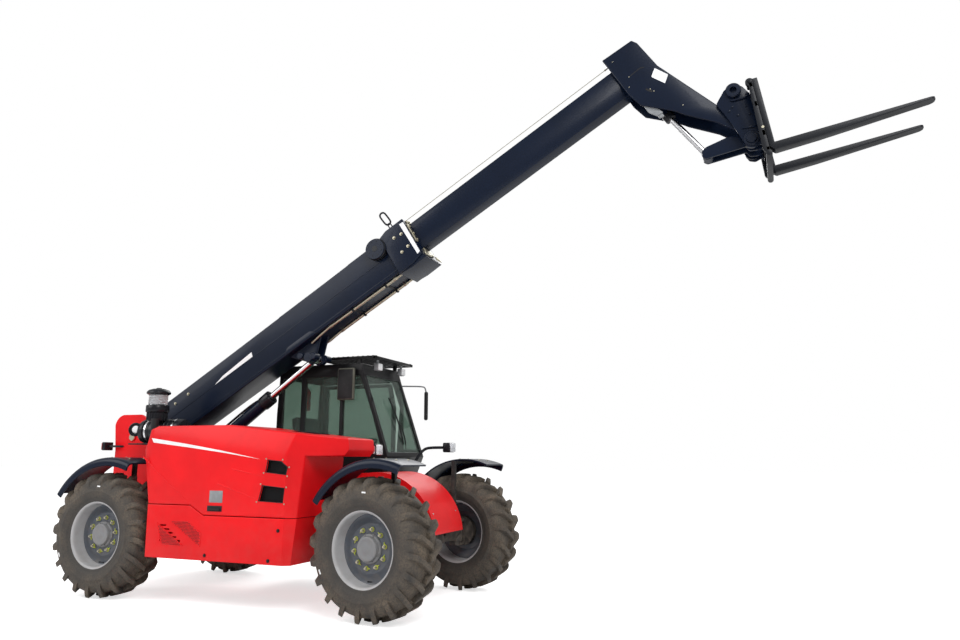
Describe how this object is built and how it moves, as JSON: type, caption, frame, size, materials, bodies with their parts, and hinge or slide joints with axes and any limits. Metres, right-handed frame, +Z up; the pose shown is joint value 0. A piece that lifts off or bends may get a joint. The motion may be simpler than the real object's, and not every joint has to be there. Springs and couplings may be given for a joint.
{
  "type": "telehandler",
  "caption": "Four-wheel-steer lift truck with a side cab, engine pod and raised two-part telescopic boom carrying a pair of pallet forks.",
  "frame": {"origin": "on the ground under the middle of the whole machine", "axes": "+X forward along the boom, +Y to the machine's left, +Z up"},
  "size_m": [8.2633, 2.4813, 5.2154],
  "materials": {
    "body_red": "glossy bright red paint",
    "boom_navy": "near-black blue paint",
    "fork_grey": "dark charcoal paint on forged steel",
    "axle_grey": "dark grey paint",
    "rim_silver": "silver-grey paint",
    "tyre_rubber": "dusty black rubber",
    "engine_grey": "painted casting",
    "black_gloss": "glossy black",
    "black_plastic": "matt black plastic",
    "cab_black": "satin black paint",
    "window_glass": "green-tinted safety glass",
    "seat_cloth": "dark grey cloth",
    "rod_chrome": "hard chrome"
  },
  "bodies": {
    "chassis": {"main_frame": "body_red", "axle_front": "axle_grey", "axle_rear": "axle_grey", "engine_block": "engine_grey", "drive_line": "axle_grey", "pod_panel": "body_red", "air_cleaner": "black_gloss", "tank_steps": "black_plastic", "cab_frame": "cab_black", "cab_glass": "window_glass", "roof_guard": "cab_black", "driver_seat": "seat_cloth", "steering_column": "black_plastic", "lamps": "black_plastic", "mirrors": "black_plastic"},
    "knuckle_front_left": {"knuckle_front_left": "axle_grey", "mudguard_front_left": "black_plastic"},
    "wheel_front_left": {"tyre_front_left": "tyre_rubber", "rim_front_left": "rim_silver"},
    "knuckle_front_right": {"knuckle_front_right": "axle_grey", "mudguard_front_right": "black_plastic"},
    "wheel_front_right": {"tyre_front_right": "tyre_rubber", "rim_front_right": "rim_silver"},
    "knuckle_rear_left": {"knuckle_rear_left": "axle_grey", "mudguard_rear_left": "black_plastic"},
    "wheel_rear_left": {"tyre_rear_left": "tyre_rubber", "rim_rear_left": "rim_silver"},
    "knuckle_rear_right": {"knuckle_rear_right": "axle_grey", "mudguard_rear_right": "black_plastic"},
    "wheel_rear_right": {"tyre_rear_right": "tyre_rubber", "rim_rear_right": "rim_silver"},
    "steering_rod_front": {"steering_rod_front": "rod_chrome"},
    "steering_rod_rear": {"steering_rod_rear": "rod_chrome"},
    "door": {"door_frame": "cab_black", "door_glass": "window_glass"},
    "bonnet": {"bonnet": "body_red"},
    "outer_boom": {"outer_boom": "boom_navy"},
    "inner_boom": {"inner_boom": "boom_navy", "boom_head": "boom_navy"},
    "carriage": {"carriage": "boom_navy", "fork_left": "fork_grey", "fork_right": "fork_grey"},
    "lift_barrel": {"lift_barrel": "boom_navy"},
    "lift_rod": {"lift_rod": "rod_chrome"},
    "tilt_barrel": {"tilt_barrel": "boom_navy"},
    "tilt_rod": {"tilt_rod": "rod_chrome"}
  },
  "joints": [
    {"name": "steer_front_left", "type": "hinge", "parent": "chassis", "child": "knuckle_front_left", "pos_m": [-0.38, 0.7735, 0.59], "axis": [0, 0, 1], "range_deg": [-22.4, 37.6]},
    {"name": "spin_front_left", "type": "hinge", "parent": "knuckle_front_left", "child": "wheel_front_left", "pos_m": [-0.35818, 0.93705, 0.59], "axis": [0.1323, 0.9912, 0], "continuous": true},
    {"name": "steer_front_right", "type": "hinge", "parent": "chassis", "child": "knuckle_front_right", "pos_m": [-0.38, -0.7735, 0.59], "axis": [0, 0, 1], "range_deg": [-22.5, 37.7]},
    {"name": "spin_front_right", "type": "hinge", "parent": "knuckle_front_right", "child": "wheel_front_right", "pos_m": [-0.40182, -0.93705, 0.59], "axis": [0.1323, 0.9912, 0], "continuous": true},
    {"name": "steer_rear_left", "type": "hinge", "parent": "chassis", "child": "knuckle_rear_left", "pos_m": [-3.382, 0.7735, 0.59], "axis": [0, 0, 1], "range_deg": [-30, 30]},
    {"name": "spin_rear_left", "type": "hinge", "parent": "knuckle_rear_left", "child": "wheel_rear_left", "pos_m": [-3.382, 0.9385, 0.59], "axis": [0, 1, 0], "continuous": true},
    {"name": "steer_rear_right", "type": "hinge", "parent": "chassis", "child": "knuckle_rear_right", "pos_m": [-3.382, -0.7735, 0.59], "axis": [0, 0, 1], "range_deg": [-30.1, 30.1]},
    {"name": "spin_rear_right", "type": "hinge", "parent": "knuckle_rear_right", "child": "wheel_rear_right", "pos_m": [-3.382, -0.9385, 0.59], "axis": [0, 1, 0], "continuous": true},
    {"name": "rod_slide_front", "type": "slide", "parent": "chassis", "child": "steering_rod_front", "axis": [0, 1, 0], "range_m": [-0.1065, 0.0636]},
    {"name": "rod_slide_rear", "type": "slide", "parent": "chassis", "child": "steering_rod_rear", "axis": [0, 1, 0], "range_m": [-0.0852, 0.0852]},
    {"name": "door_hinge", "type": "hinge", "parent": "chassis", "child": "door", "pos_m": [-2.254, 1.136, 1.5], "axis": [0, 0, 1], "range_deg": [0, 75]},
    {"name": "bonnet_hinge", "type": "hinge", "parent": "chassis", "child": "bonnet", "pos_m": [-2.282, -0.337, 1.578], "axis": [-1, 0, 0], "range_deg": [0, 55]},
    {"name": "boom_lift", "type": "hinge", "parent": "chassis", "child": "outer_boom", "pos_m": [-3.802, 0, 1.55], "axis": [0, -1, 0], "range_deg": [-30.8, 31.5]},
    {"name": "telescope", "type": "slide", "parent": "outer_boom", "child": "inner_boom", "axis": [0.859, 0, 0.512], "range_m": [-2.35, 0]},
    {"name": "carriage_tilt", "type": "hinge", "parent": "inner_boom", "child": "carriage", "pos_m": [2.77528, 0, 4.05053], "axis": [0, -1, 0], "range_deg": [-38, 30]},
    {"name": "lift_barrel_swing", "type": "hinge", "parent": "chassis", "child": "lift_barrel", "pos_m": [-3.502, 0, 1.05], "axis": [0, -1, 0], "range_deg": [-30.3, 31]},
    {"name": "lift_rod_slide", "type": "slide", "parent": "lift_barrel", "child": "lift_rod", "axis": [0.8118, 0, 0.584], "range_m": [-0.305, 0.312]},
    {"name": "tilt_barrel_swing", "type": "hinge", "parent": "inner_boom", "child": "tilt_barrel", "pos_m": [1.70427, 0, 4.94881], "axis": [0, -1, 0], "range_deg": [-5.5, 7]},
    {"name": "tilt_rod_slide", "type": "slide", "parent": "tilt_barrel", "child": "tilt_rod", "axis": [0.5943, 0, -0.8043], "range_m": [-0.193, 0.153]}
  ],
  "couplings": [
    {"joint": "steer_front_right", "follows": "steer_front_left", "ratio": 1},
    {"joint": "steer_rear_right", "follows": "steer_rear_left", "ratio": 1},
    {"joint": "rod_slide_front", "follows": "steer_front_left", "m_per_rad": -0.162},
    {"joint": "rod_slide_rear", "follows": "steer_rear_left", "m_per_rad": -0.162},
    {"joint": "lift_barrel_swing", "follows": "boom_lift", "ratio": 0.9776},
    {"joint": "lift_rod_slide", "follows": "boom_lift", "m_per_rad": 0.5627},
    {"joint": "tilt_barrel_swing", "follows": "carriage_tilt", "ratio": -0.178},
    {"joint": "tilt_rod_slide", "follows": "carriage_tilt", "m_per_rad": 0.28855}
  ]
}
